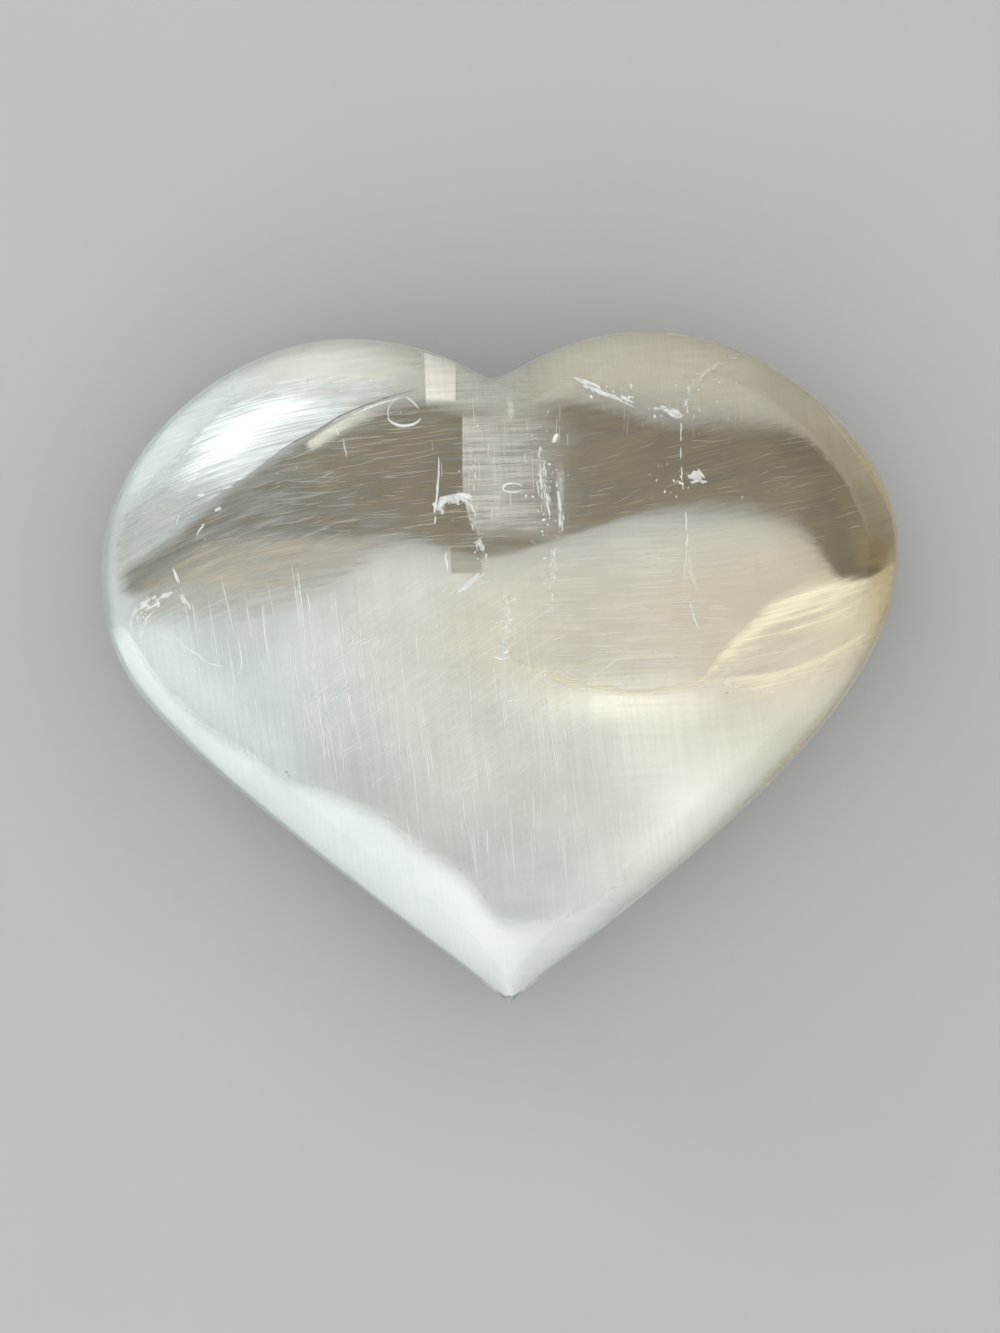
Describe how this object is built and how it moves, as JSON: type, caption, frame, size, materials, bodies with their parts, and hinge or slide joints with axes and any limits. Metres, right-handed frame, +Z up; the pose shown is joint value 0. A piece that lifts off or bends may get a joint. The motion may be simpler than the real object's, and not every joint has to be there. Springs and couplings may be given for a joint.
{
  "type": "quartz heart",
  "caption": "Polished heart-shaped palm stone of clear, fibrous crystal with a smoky band and sealed-in fractures, lying on a small ground flat.",
  "frame": {"origin": "on the floor, under the middle of the stone's bounding box", "axes": "+X across the lobes towards the fuller one, +Y from the point to the cleft, +Z up out of the front face"},
  "size_m": [0.075, 0.063, 0.026],
  "materials": {
    "crystal": "clear to milky crystal, satin polish with fine sanding lines",
    "smoke": "grey-brown smoky zone sealed in the crystal",
    "inclusion": "white veils, fibres and fracture glints sealed in the crystal"
  },
  "bodies": {
    "root": {"heart": "crystal"}
  },
  "joints": []
}
